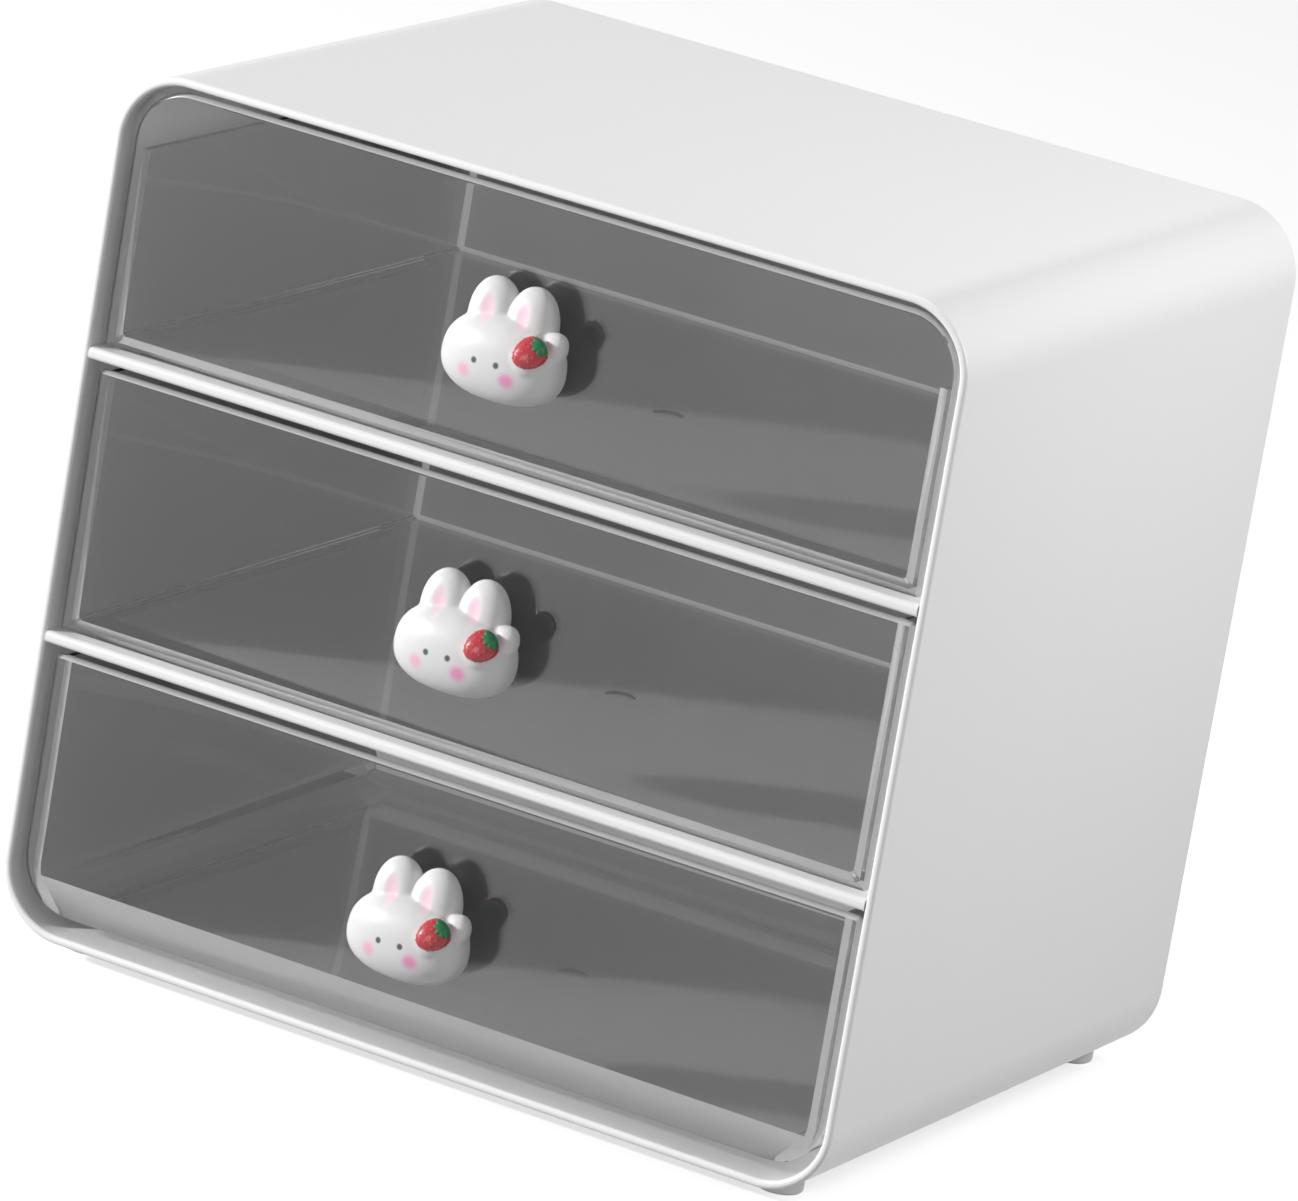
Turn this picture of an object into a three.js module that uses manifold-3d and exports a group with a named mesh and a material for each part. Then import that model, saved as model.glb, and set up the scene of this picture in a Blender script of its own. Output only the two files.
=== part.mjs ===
// Desktop drawer organizer: a white case with round corners and two shelves, and three clear smoked
// drawers that slide out to the front, each pulled by a small rabbit knob with a strawberry.
// Millimetres, +Z up, front towards -Y. The origin lies on the surface that the feet stand on,
// midway between the rabbits' noses and the back of the case.

import * as THREE from 'three';
import { mergeVertices } from 'three/addons/utils/BufferGeometryUtils.js';
import Module from 'manifold-3d';

const wasm = await Module();
wasm.setup();

// Case: its height and depth follow from the drawers in it
const caseWidth = 240;
const caseWall = 2.2;
const caseCornerRadius = 18.6;
const rimRadius = 1;
const backPanelThickness = 3;
const backPanelRecess = 5.5;
const shelfThickness = 3.2;
const bondLine = 0.1;

// Feet
const footHeight = 4;
const footRadius = 6;
const footEdgeRadius = 0.8;
const footSideInset = 19;
const footFrontInset = 16;
const footBackInset = 8;

// Drawers
const drawerHeight = 66.4;
const panelThickness = 2;
const panelRecess = 3;
const panelSideGap = 1.8;
const panelCornerRadius = 1.2;
const panelDrop = 1.5;
const trayLength = 166.6;
const trayWall = 2;
const traySideInset = 2.6;
const trayEdgeRadius = 1.2;
const bottomTrayEdgeRadius = 12;
const trayBackCornerRadius = 1.6;
const topTrayDrop = 16.7;
const frontStripSize = 6.7;
const gateMarkRadius = 4;
const gateMarkDepth = 0.5;
const gateMarkOffset = 3.6;
const gateMarkForward = 8.5;
const stopGap = 0.5;
const drawerLift = 1.95;
const bottomDrawerLift = 4.1;
const topHeadroom = 2.05;
const middleHeadroom = 2.45;
const bottomHeadroom = 2.7;
const runningGap = 0.3;
const runnerWidth = 2.4;
const runnerFrontInset = 12;
const runnerBackInset = 16;

// Rabbit knob, from the screw's axis and the front panel's face
const headHalfWidth = 16.3;
const headHalfDepth = 9.7;
const headHalfHeight = 11;
const headStandoff = 7.5;
const headDrop = 5.2;
const earHalfWidth = 7;
const earHalfDepth = 5.4;
const earHalfHeight = 10.2;
const earOffset = 5.5;
const earRise = 3.3;
const earStandoff = 6;
const lobeHalfWidth = 3.2;
const lobeHalfDepth = 2.8;
const lobeHalfHeight = 3.7;
const lobeOffset = 13.6;
const lobeRise = 0.9;
const lobeStandoff = 8.3;

// Strawberry on the rabbit's head, on a raised pad of resin: where its middle is over the head, and
// its own sizes
const berryOffset = 9.5;
const berryRise = -0.3;
const berryLength = 8.8;
const berryHalfWidth = 4.2;
const berryHalfDepth = 2.6;
const berryTurn = Math.PI / 4;
const tipWidthShare = 0.9;
const crownWidthShare = 1.5;
const padRise = 1;
const padMargin = 1;
const padHalfDepth = 2.4;
const seatGap = 0.3;
const sepalCount = 5;
const sepalLength = 3.8;
const sepalHalfWidth = 1.1;
const sepalHalfDepth = 0.9;
const sepalSpread = Math.PI / 5.2;

// Knob fixing: a screw from inside the drawer into a brass insert in the rabbit
const screwShankRadius = 2;
const screwShankReach = 6.6;
const screwHeadRadius = 3.9;
const screwHeadHeight = 2.4;
const screwHeadEdgeRadius = 1;
const screwHoleClearance = 0.25;
const insertWall = 1;
const insertBoreClearance = 0.1;
const insertLength = 7.4;
const insertRecess = 0.2;
const insertClearance = 0.15;
const insertPocketTip = 1.2;

// Facets
const arcSteps = 8;
const rimSteps = 3;
const roundSides = 16;
const headSides = 26;
const headRings = 14;
const earSides = 16;
const earRings = 10;
const sepalSides = 6;
const sepalRings = 6;
const overrun = 1;

// Worked out from the sizes above
const innerHalfWidth = caseWidth / 2 - caseWall;
const innerCornerRadius = caseCornerRadius - caseWall;
const panelHalfWidth = innerHalfWidth - panelSideGap;
const trayHalfWidth = panelHalfWidth - traySideInset;
const backPanelFront = panelRecess + panelThickness + trayLength + stopGap;
const caseDepth = backPanelFront + backPanelThickness + backPanelRecess;
const bottomDrawerUnderside = caseWall + bottomDrawerLift;
const lowerShelfTop = bottomDrawerUnderside + drawerHeight + bottomHeadroom + shelfThickness;
const middleDrawerUnderside = lowerShelfTop + drawerLift;
const upperShelfTop = middleDrawerUnderside + drawerHeight + middleHeadroom + shelfThickness;
const topDrawerUnderside = upperShelfTop + drawerLift;
const caseHeight = topDrawerUnderside + drawerHeight + topHeadroom + caseWall;
const noseReach = headStandoff + headHalfDepth - panelRecess;

function finish(color, roughness, options = {}) {
  return new THREE.MeshStandardMaterial({ color, roughness, metalness: 0, ...options });
}

const whiteGloss = finish(0xf2f2f2, 0.28);
const whiteShelf = finish(0xf0f0f0, 0.3);
const smokedClear = finish(0x5a5c5f, 0.08, { transparent: true, opacity: 0.5 });
const whiteResin = finish(0xf6f4f4, 0.2);
const berryRed = finish(0xb8262f, 0.3);
const leafGreen = finish(0x17814a, 0.35);
const brass = finish(0xb89b5a, 0.4, { metalness: 1 });
const steel = finish(0xb9bbbd, 0.35, { metalness: 1 });
const footRubber = finish(0xd9d9d9, 0.6);

function toSolid(geometry) {
  const bare = new THREE.BufferGeometry();
  bare.setAttribute('position', geometry.getAttribute('position').clone());
  if (geometry.index) bare.setIndex(geometry.index.clone());
  const merged = mergeVertices(bare);
  return new wasm.Manifold(new wasm.Mesh({
    numProp: 3,
    vertProperties: new Float32Array(merged.getAttribute('position').array),
    triVerts: new Uint32Array(merged.index.array),
  }));
}

function fromSolid(solid) {
  const mesh = solid.getMesh();
  const geometry = new THREE.BufferGeometry();
  geometry.setAttribute('position', new THREE.BufferAttribute(new Float32Array(mesh.vertProperties), 3));
  geometry.setIndex(new THREE.BufferAttribute(new Uint32Array(mesh.triVerts), 1));
  geometry.computeVertexNormals();
  return geometry;
}

// An outline in the X-Z plane as an extrusion towards +Y from y = 0
function extrudeBack(shape, depth) {
  const options = { depth, bevelEnabled: false, curveSegments: arcSteps };
  const geometry = new THREE.ExtrudeGeometry(shape, options);
  geometry.rotateX(Math.PI / 2);
  geometry.translate(0, depth, 0);
  return geometry;
}

// An outline in the X-Y plane as an extrusion towards +Z from z = 0
function extrudeUp(shape, height) {
  return new THREE.ExtrudeGeometry(shape, {
    depth: height,
    bevelEnabled: false,
    curveSegments: arcSteps,
  });
}

// An outline in the Y-Z plane as an extrusion along X, centred on x = 0
function extrudeAcross(shape, width) {
  const options = { depth: width, bevelEnabled: false, curveSegments: arcSteps };
  const geometry = new THREE.ExtrudeGeometry(shape, options);
  geometry.translate(0, 0, -width / 2);
  geometry.rotateY(Math.PI / 2);
  geometry.rotateX(Math.PI / 2);
  return geometry;
}

function box(from, to) {
  const size = new THREE.Vector3().subVectors(to, from);
  const geometry = new THREE.BoxGeometry(size.x, size.y, size.z);
  geometry.translate(from.x + size.x / 2, from.y + size.y / 2, from.z + size.z / 2);
  return geometry;
}

function ellipsoid(halfSizes, centre, sides, rings) {
  const geometry = new THREE.SphereGeometry(1, sides, rings);
  geometry.scale(halfSizes.x, halfSizes.y, halfSizes.z);
  geometry.translate(centre.x, centre.y, centre.z);
  return geometry;
}

// A rectangle from bottom to top with round corners; a radius of 0 leaves a corner sharp
function roundedPlate(halfWidth, bottom, top, bottomRadius, topRadius) {
  const shape = new THREE.Shape();
  shape.moveTo(-halfWidth + bottomRadius, bottom);
  shape.lineTo(halfWidth - bottomRadius, bottom);
  shape.absarc(halfWidth - bottomRadius, bottom + bottomRadius, bottomRadius, -Math.PI / 2, 0);
  shape.lineTo(halfWidth, top - topRadius);
  shape.absarc(halfWidth - topRadius, top - topRadius, topRadius, 0, Math.PI / 2);
  shape.lineTo(-halfWidth + topRadius, top);
  shape.absarc(-halfWidth + topRadius, top - topRadius, topRadius, Math.PI / 2, Math.PI);
  shape.lineTo(-halfWidth, bottom + bottomRadius);
  shape.absarc(-halfWidth + bottomRadius, bottom + bottomRadius, bottomRadius, Math.PI, Math.PI * 1.5);
  return shape;
}

// Case

// Points round a rounded rectangle in the X-Z plane that stands on z = 0, with their outward normals
function caseOutline() {
  const points = [];
  const acrossCentre = caseWidth / 2 - caseCornerRadius;
  const corners = [
    { x: acrossCentre, z: caseCornerRadius, start: -Math.PI / 2 },
    { x: acrossCentre, z: caseHeight - caseCornerRadius, start: 0 },
    { x: -acrossCentre, z: caseHeight - caseCornerRadius, start: Math.PI / 2 },
    { x: -acrossCentre, z: caseCornerRadius, start: Math.PI },
  ];
  for (const corner of corners) {
    for (let step = 0; step <= arcSteps; step += 1) {
      const angle = corner.start + (Math.PI / 2) * (step / arcSteps);
      const normal = new THREE.Vector2(Math.cos(angle), Math.sin(angle));
      points.push({
        x: corner.x + caseCornerRadius * normal.x,
        z: corner.z + caseCornerRadius * normal.y,
        normal,
      });
    }
  }
  return points;
}

// The wall's section: how far each point lies inside the outline, and its distance behind the front
function wallSection() {
  const points = [];
  const corners = [
    { inset: caseWall - rimRadius, y: rimRadius, start: -Math.PI / 2 },
    { inset: caseWall - rimRadius, y: caseDepth - rimRadius, start: 0 },
    { inset: rimRadius, y: caseDepth - rimRadius, start: Math.PI / 2 },
    { inset: rimRadius, y: rimRadius, start: Math.PI },
  ];
  for (const corner of corners) {
    for (let step = 0; step <= rimSteps; step += 1) {
      const angle = corner.start + (Math.PI / 2) * (step / rimSteps);
      points.push({
        inset: corner.inset + rimRadius * Math.cos(angle),
        y: corner.y + rimRadius * Math.sin(angle),
      });
    }
  }
  return points;
}

// The wall's section carried once round the outline
function caseShell() {
  const outline = caseOutline();
  const section = wallSection();
  const positions = [];
  for (const place of outline) {
    for (const point of section) {
      const x = place.x - place.normal.x * point.inset;
      const z = place.z - place.normal.y * point.inset;
      positions.push(x, point.y, z);
    }
  }
  const indices = [];
  for (let i = 0; i < outline.length; i += 1) {
    const here = i * section.length;
    const next = ((i + 1) % outline.length) * section.length;
    for (let j = 0; j < section.length; j += 1) {
      const after = (j + 1) % section.length;
      indices.push(here + j, next + j, here + after);
      indices.push(here + after, next + j, next + after);
    }
  }
  const geometry = new THREE.BufferGeometry();
  geometry.setAttribute('position', new THREE.Float32BufferAttribute(positions, 3));
  geometry.setIndex(indices);
  geometry.computeVertexNormals();
  return geometry;
}

// Let into the back of the shell, so that a shut drawer stops against it
function backPanel() {
  const shape = roundedPlate(
    innerHalfWidth - bondLine,
    caseWall + bondLine,
    caseHeight - caseWall - bondLine,
    innerCornerRadius - bondLine,
    innerCornerRadius - bondLine,
  );
  const geometry = extrudeBack(shape, backPanelThickness);
  geometry.translate(0, backPanelFront, 0);
  return geometry;
}

// A shelf from the front of the case to the back panel, with a round front edge
function shelf() {
  const shape = new THREE.Shape();
  const depth = backPanelFront - bondLine;
  shape.moveTo(rimRadius, 0);
  shape.lineTo(depth, 0);
  shape.lineTo(depth, shelfThickness);
  shape.lineTo(rimRadius, shelfThickness);
  shape.absarc(rimRadius, shelfThickness - rimRadius, rimRadius, Math.PI / 2, Math.PI);
  shape.absarc(rimRadius, rimRadius, rimRadius, Math.PI, Math.PI * 1.5);
  return extrudeAcross(shape, (innerHalfWidth - bondLine) * 2);
}

function foot() {
  const profile = [new THREE.Vector2(0, 0)];
  for (let step = 0; step <= rimSteps; step += 1) {
    const angle = -Math.PI / 2 + (Math.PI / 2) * (step / rimSteps);
    profile.push(new THREE.Vector2(
      footRadius - footEdgeRadius + footEdgeRadius * Math.cos(angle),
      footEdgeRadius + footEdgeRadius * Math.sin(angle),
    ));
  }
  profile.push(new THREE.Vector2(footRadius, footHeight));
  profile.push(new THREE.Vector2(0, footHeight));
  const geometry = new THREE.LatheGeometry(profile, roundSides);
  geometry.rotateX(Math.PI / 2);
  return geometry;
}

// Drawers. Their frame has y = 0 at the front panel's face and z = 0 at the underside.

// The panel, which can reach below the tray's underside
function frontPanel({ drop, bottomRadius, topRadius }) {
  const shape = roundedPlate(panelHalfWidth, -drop, drawerHeight, bottomRadius, topRadius);
  const hole = new THREE.Path();
  hole.absarc(0, drawerHeight / 2, screwShankRadius + screwHoleClearance, 0, Math.PI * 2, true);
  shape.holes.push(hole);
  return extrudeBack(shape, panelThickness);
}

// A block with round lower edges at both sides and at the back, standing on z = floor
function roundBottomBlock({ halfWidth, front, back, floor, top, edgeRadius }) {
  const across = extrudeBack(roundedPlate(halfWidth, floor, top, edgeRadius, 0), back - front);
  across.translate(0, front, 0);
  const along = new THREE.Shape();
  along.moveTo(front, floor);
  along.lineTo(back - edgeRadius, floor);
  along.absarc(back - edgeRadius, floor + edgeRadius, edgeRadius, -Math.PI / 2, 0);
  along.lineTo(back, top);
  along.lineTo(front, top);
  return toSolid(across).intersect(toSolid(extrudeAcross(along, (halfWidth + overrun) * 2)));
}

// The room inside a tray, with round upright corners at the back too
function trayCavity({ halfWidth, front, back, floor, top, edgeRadius }) {
  const block = roundBottomBlock({ halfWidth, front, back, floor, top, edgeRadius });
  const plan = extrudeUp(roundedPlate(halfWidth, front, back, 0, trayBackCornerRadius), top - floor);
  plan.translate(0, 0, floor);
  return block.intersect(toSolid(plan));
}

// A solid strip with a sloping face, along the corner between the floor and the front panel
function frontStrip(front, floor) {
  const section = new THREE.Shape();
  section.moveTo(front - overrun, floor - overrun);
  section.lineTo(front + frontStripSize + overrun, floor - overrun);
  section.lineTo(front - overrun, floor + frontStripSize + overrun);
  return toSolid(extrudeAcross(section, trayHalfWidth * 2));
}

// The shallow round mark that the mould leaves on the floor
function gateMark(floor) {
  const height = gateMarkDepth * 2;
  const geometry = new THREE.CylinderGeometry(gateMarkRadius, gateMarkRadius, height, roundSides);
  geometry.rotateX(Math.PI / 2);
  geometry.translate(gateMarkOffset, panelThickness + trayLength / 2 - gateMarkForward, floor);
  return toSolid(geometry);
}

// The open tray behind the panel, with a runner rib along the underside near each side
function tray({ height, edgeRadius, lift, hasStrip }) {
  const front = panelThickness;
  const back = panelThickness + trayLength;
  const outside = roundBottomBlock({
    halfWidth: trayHalfWidth,
    front,
    back,
    floor: 0,
    top: height,
    edgeRadius,
  });
  let inside = trayCavity({
    halfWidth: trayHalfWidth - trayWall,
    front: front - overrun,
    back: back - trayWall,
    floor: trayWall,
    top: height + overrun,
    edgeRadius: Math.max(edgeRadius - trayWall, trayEdgeRadius),
  });
  if (hasStrip) inside = inside.subtract(frontStrip(front, trayWall));
  let solid = outside.subtract(inside).subtract(gateMark(trayWall));
  for (const side of [-1, 1]) {
    const outer = trayHalfWidth - edgeRadius;
    const edges = [side * outer, side * (outer - runnerWidth)];
    const rib = box(
      new THREE.Vector3(Math.min(...edges), front + runnerFrontInset, runningGap - lift),
      new THREE.Vector3(Math.max(...edges), back - runnerBackInset, trayWall / 2),
    );
    solid = solid.add(toSolid(rib));
  }
  return fromSolid(solid);
}

// Rabbit knob. Its frame has y = 0 at the panel's face and z = 0 at the screw's axis.

const headCentre = new THREE.Vector3(0, -headStandoff, -headDrop);
const headHalfSizes = new THREE.Vector3(headHalfWidth, headHalfDepth, headHalfHeight);

// The point of the head's front over x and z, with the outward normal there
function headSeat(x, z) {
  const across = (x - headCentre.x) / headHalfWidth;
  const up = (z - headCentre.z) / headHalfHeight;
  const out = Math.sqrt(1 - across * across - up * up);
  const point = new THREE.Vector3(x, headCentre.y - headHalfDepth * out, z);
  const normal = new THREE.Vector3(across / headHalfWidth, -out / headHalfDepth, up / headHalfHeight);
  normal.normalize();
  return { point, normal };
}

function rabbitHead() {
  let solid = toSolid(ellipsoid(headHalfSizes, headCentre, headSides, headRings));
  for (const side of [-1, 1]) {
    solid = solid.add(toSolid(ellipsoid(
      new THREE.Vector3(earHalfWidth, earHalfDepth, earHalfHeight),
      new THREE.Vector3(side * earOffset, -earStandoff, earRise),
      earSides,
      earRings,
    )));
  }
  solid = solid.add(lobe(0)).add(berryPad(0));
  const reach = headHalfWidth + headHalfHeight;
  const behind = box(
    new THREE.Vector3(-reach, 0, -reach),
    new THREE.Vector3(reach, headHalfDepth, reach),
  );
  return fromSolid(solid.subtract(toSolid(behind)).subtract(toSolid(insertPocket())));
}

// The pocket for the insert, with a drilled tip at its blind end
function insertPocket() {
  const radius = screwShankRadius + insertBoreClearance + insertWall + insertClearance;
  const deep = -(insertRecess + insertLength + insertClearance);
  return new THREE.LatheGeometry([
    new THREE.Vector2(0, deep - insertPocketTip),
    new THREE.Vector2(radius, deep),
    new THREE.Vector2(radius, overrun),
    new THREE.Vector2(0, overrun),
  ], roundSides);
}

function threadedInsert() {
  const inner = screwShankRadius + insertBoreClearance;
  const outer = inner + insertWall;
  return new THREE.LatheGeometry([
    new THREE.Vector2(inner, -insertRecess - insertLength),
    new THREE.Vector2(outer, -insertRecess - insertLength),
    new THREE.Vector2(outer, -insertRecess),
    new THREE.Vector2(inner, -insertRecess),
    new THREE.Vector2(inner, -insertRecess - insertLength),
  ], roundSides);
}

function knobScrew() {
  const profile = [
    new THREE.Vector2(0, -screwShankReach),
    new THREE.Vector2(screwShankRadius, -screwShankReach),
    new THREE.Vector2(screwShankRadius, panelThickness),
    new THREE.Vector2(screwHeadRadius, panelThickness),
  ];
  for (let step = 0; step <= rimSteps; step += 1) {
    const angle = (Math.PI / 2) * (step / rimSteps);
    profile.push(new THREE.Vector2(
      screwHeadRadius - screwHeadEdgeRadius + screwHeadEdgeRadius * Math.cos(angle),
      panelThickness + screwHeadHeight - screwHeadEdgeRadius + screwHeadEdgeRadius * Math.sin(angle),
    ));
  }
  profile.push(new THREE.Vector2(0, panelThickness + screwHeadHeight));
  return new THREE.LatheGeometry(profile, roundSides);
}

// The small round end that stands out beside the strawberry; grow adds the same gap all round
function lobe(grow) {
  const halfSizes = new THREE.Vector3(lobeHalfWidth, lobeHalfDepth, lobeHalfHeight).addScalar(grow);
  const centre = new THREE.Vector3(lobeOffset, -lobeStandoff, lobeRise);
  return toSolid(ellipsoid(halfSizes, centre, earSides, earRings));
}

// The frame of the strawberry over the head: x across it, y along it from tip to crown, z outward
function berryFrame() {
  const { point, normal } = headSeat(berryOffset, berryRise);
  point.addScaledVector(normal, padRise);
  const lean = new THREE.Vector3(Math.sin(berryTurn), 0, Math.cos(berryTurn));
  const across = new THREE.Vector3().crossVectors(lean, normal).normalize();
  const along = new THREE.Vector3().crossVectors(normal, across);
  return new THREE.Matrix4().makeBasis(across, along, normal).setPosition(point);
}

// The pad rises from the head to the middle of the strawberry; grow adds the same gap all round
function berryPad(grow) {
  const halfWidth = berryHalfWidth + padMargin;
  const halfSizes = new THREE.Vector3(halfWidth, berryLength / 2 + padMargin, padHalfDepth);
  const centre = new THREE.Vector3(0, 0, -padHalfDepth);
  const pad = ellipsoid(halfSizes.addScalar(grow), centre, earSides, earRings);
  pad.applyMatrix4(berryFrame());
  return toSolid(pad);
}

// A strawberry lies along y with its tip at the low end; grow adds the same gap all round
function berryBody(grow) {
  const half = berryLength / 2;
  const outline = new THREE.CubicBezierCurve(
    new THREE.Vector2(0, -half - grow),
    new THREE.Vector2((berryHalfWidth + grow) * tipWidthShare, -half - grow),
    new THREE.Vector2((berryHalfWidth + grow) * crownWidthShare, half + grow),
    new THREE.Vector2(0, half + grow),
  );
  const profile = outline.getPoints(earRings);
  profile[0].x = 0;
  profile[earRings].x = 0;
  const geometry = new THREE.LatheGeometry(profile, earSides);
  geometry.scale(1, 1, (berryHalfDepth + grow) / (berryHalfWidth + grow));
  geometry.applyMatrix4(berryFrame());
  return toSolid(geometry);
}

// The head grown by the seat gap, to cut what sits on it
function headCutter() {
  const grown = headHalfSizes.clone().addScalar(seatGap);
  let solid = toSolid(ellipsoid(grown, headCentre, headSides, headRings));
  solid = solid.add(toSolid(ellipsoid(
    new THREE.Vector3(earHalfWidth, earHalfDepth, earHalfHeight).addScalar(seatGap),
    new THREE.Vector3(earOffset, -earStandoff, earRise),
    earSides,
    earRings,
  )));
  return solid.add(lobe(seatGap)).add(berryPad(seatGap));
}

function strawberry() {
  return fromSolid(berryBody(0).subtract(headCutter()));
}

// Sepals fanned over the strawberry's crown, cut to lie on it and on the head
function strawberryLeaves() {
  let solid = null;
  for (let index = 0; index < sepalCount; index += 1) {
    const angle = (index - (sepalCount - 1) / 2) * sepalSpread;
    const sepal = ellipsoid(
      new THREE.Vector3(sepalHalfWidth, sepalLength / 2, sepalHalfDepth),
      new THREE.Vector3(0, -sepalLength / 2 + sepalHalfWidth, 0),
      sepalSides,
      sepalRings,
    );
    sepal.rotateZ(angle);
    sepal.translate(0, berryLength / 2 - sepalHalfWidth, berryHalfDepth);
    sepal.applyMatrix4(berryFrame());
    solid = solid ? solid.add(toSolid(sepal)) : toSolid(sepal);
  }
  return fromSolid(solid.subtract(berryBody(seatGap)).subtract(headCutter()));
}

// Assembly

function piece(name, geometry, material) {
  const mesh = new THREE.Mesh(geometry, material.clone());
  mesh.name = name;
  return mesh;
}

function cabinet() {
  const group = new THREE.Group();
  group.add(piece('case_shell', caseShell(), whiteGloss));
  group.add(piece('back_panel', backPanel(), whiteShelf));
  for (const [name, top] of [['shelf_lower', lowerShelfTop], ['shelf_upper', upperShelfTop]]) {
    const plate = piece(name, shelf(), whiteShelf);
    plate.position.z = top - shelfThickness;
    group.add(plate);
  }
  const across = caseWidth / 2 - footSideInset;
  const rows = [['front', footFrontInset], ['back', caseDepth - footBackInset]];
  for (const [row, y] of rows) {
    for (const [side, x] of [['left', -across], ['right', across]]) {
      const pad = piece(`foot_${row}_${side}`, foot(), footRubber);
      pad.position.set(x, y, -footHeight);
      group.add(pad);
    }
  }
  return group;
}

function drawer(name, { underside, panelShape, trayShape }) {
  const group = new THREE.Group();
  group.add(piece(`${name}_front_panel`, frontPanel(panelShape), smokedClear));
  group.add(piece(`${name}_tray`, tray(trayShape), smokedClear));
  const knob = new THREE.Group();
  knob.add(piece(`${name}_rabbit_knob`, rabbitHead(), whiteResin));
  knob.add(piece(`${name}_strawberry`, strawberry(), berryRed));
  knob.add(piece(`${name}_strawberry_leaves`, strawberryLeaves(), leafGreen));
  knob.add(piece(`${name}_threaded_insert`, threadedInsert(), brass));
  knob.add(piece(`${name}_knob_screw`, knobScrew(), steel));
  knob.position.z = drawerHeight / 2;
  group.add(knob);
  group.position.set(0, panelRecess, underside);
  return group;
}

const innerPanelRadius = innerCornerRadius - panelSideGap;

const assembly = new THREE.Group();
assembly.add(cabinet());
assembly.add(drawer('top', {
  underside: topDrawerUnderside,
  panelShape: { drop: panelDrop, bottomRadius: panelCornerRadius, topRadius: innerPanelRadius },
  trayShape: { height: drawerHeight - topTrayDrop, edgeRadius: trayEdgeRadius, lift: drawerLift },
}));
assembly.add(drawer('middle', {
  underside: middleDrawerUnderside,
  panelShape: { drop: panelDrop, bottomRadius: panelCornerRadius, topRadius: panelCornerRadius },
  trayShape: { height: drawerHeight, edgeRadius: trayEdgeRadius, lift: drawerLift },
}));
assembly.add(drawer('bottom', {
  underside: bottomDrawerUnderside,
  panelShape: { drop: 0, bottomRadius: innerPanelRadius, topRadius: panelCornerRadius },
  trayShape: {
    height: drawerHeight,
    edgeRadius: bottomTrayEdgeRadius,
    lift: bottomDrawerLift,
    hasStrip: true,
  },
}));
assembly.position.set(0, -(caseDepth - noseReach) / 2, footHeight);

const organizer = new THREE.Group();
organizer.add(assembly);

export default organizer;
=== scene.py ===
import math

import bmesh
import bpy
from mathutils import Matrix, Vector


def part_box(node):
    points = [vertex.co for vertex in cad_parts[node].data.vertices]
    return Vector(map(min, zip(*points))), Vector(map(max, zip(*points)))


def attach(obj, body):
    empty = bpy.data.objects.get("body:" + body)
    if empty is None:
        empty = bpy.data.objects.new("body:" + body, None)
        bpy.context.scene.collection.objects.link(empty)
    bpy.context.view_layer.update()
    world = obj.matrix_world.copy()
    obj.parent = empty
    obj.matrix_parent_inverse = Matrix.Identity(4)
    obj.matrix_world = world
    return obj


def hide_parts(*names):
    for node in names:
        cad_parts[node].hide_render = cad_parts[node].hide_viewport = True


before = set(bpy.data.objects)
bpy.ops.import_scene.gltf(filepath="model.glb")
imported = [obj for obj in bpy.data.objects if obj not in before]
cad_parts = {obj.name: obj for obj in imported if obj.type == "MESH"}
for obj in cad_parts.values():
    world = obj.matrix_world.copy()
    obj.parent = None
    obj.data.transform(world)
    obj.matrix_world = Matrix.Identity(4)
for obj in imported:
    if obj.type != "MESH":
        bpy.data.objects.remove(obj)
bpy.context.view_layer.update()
scene = bpy.context.scene
mm = 0.001
quarter = math.pi / 2
drawers = ("top", "middle", "bottom")

# Camera

camera = {
    "position": Vector((1.03947, -2.03138, 0.75302)),
    "aim": Vector((0.00427, 0.00104, 0.11102)),
    "roll": math.radians(9.7125),  # the photographer held it tilted
    "lens": 262.29,
    "sensor": 36,
    "clip": (0.1, 50),
}


def makeCamera(spec):
    lens = bpy.data.cameras.new("camera")
    lens.lens = spec["lens"]
    lens.sensor_width = spec["sensor"]
    lens.clip_start, lens.clip_end = spec["clip"]
    holder = bpy.data.objects.new("camera", lens)
    scene.collection.objects.link(holder)
    look = (spec["aim"] - spec["position"]).to_track_quat("-Z", "Y").to_matrix().to_4x4()
    turn = Matrix.Rotation(spec["roll"], 4, "Z")
    holder.matrix_world = Matrix.Translation(spec["position"]) @ look @ turn
    scene.camera = holder


makeCamera(camera)
scene.view_settings.view_transform = "Standard"
print("camera placed")

# Materials

# Noise scales are per metre; the gloss wanders in wide clouds, the skin's bumps are fine
texture = {
    "opaqueClouds": 35,
    "clearClouds": 60,
    "cloudDetail": 2,
    "skinDetail": 3,
    "skinStrength": 0.5,
}


def newMaterial(name):
    material = bpy.data.materials.new(name)
    material.use_nodes = True
    nodes = material.node_tree.nodes
    nodes.clear()
    output = nodes.new("ShaderNodeOutputMaterial")
    return material, nodes, material.node_tree.links, output


def objectNoise(nodes, links, scale, detail):
    coordinates = nodes.new("ShaderNodeTexCoord")
    noise = nodes.new("ShaderNodeTexNoise")
    noise.inputs["Scale"].default_value = scale
    noise.inputs["Detail"].default_value = detail
    links.new(coordinates.outputs["Object"], noise.inputs["Vector"])
    return noise.outputs["Fac"]


def cloudyGloss(nodes, links, shader, scale, low, high):
    mapper = nodes.new("ShaderNodeMapRange")
    mapper.inputs["To Min"].default_value = low
    mapper.inputs["To Max"].default_value = high
    clouds = objectNoise(nodes, links, scale, texture["cloudDetail"])
    links.new(clouds, mapper.inputs["Value"])
    links.new(mapper.outputs["Result"], shader.inputs["Roughness"])


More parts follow.
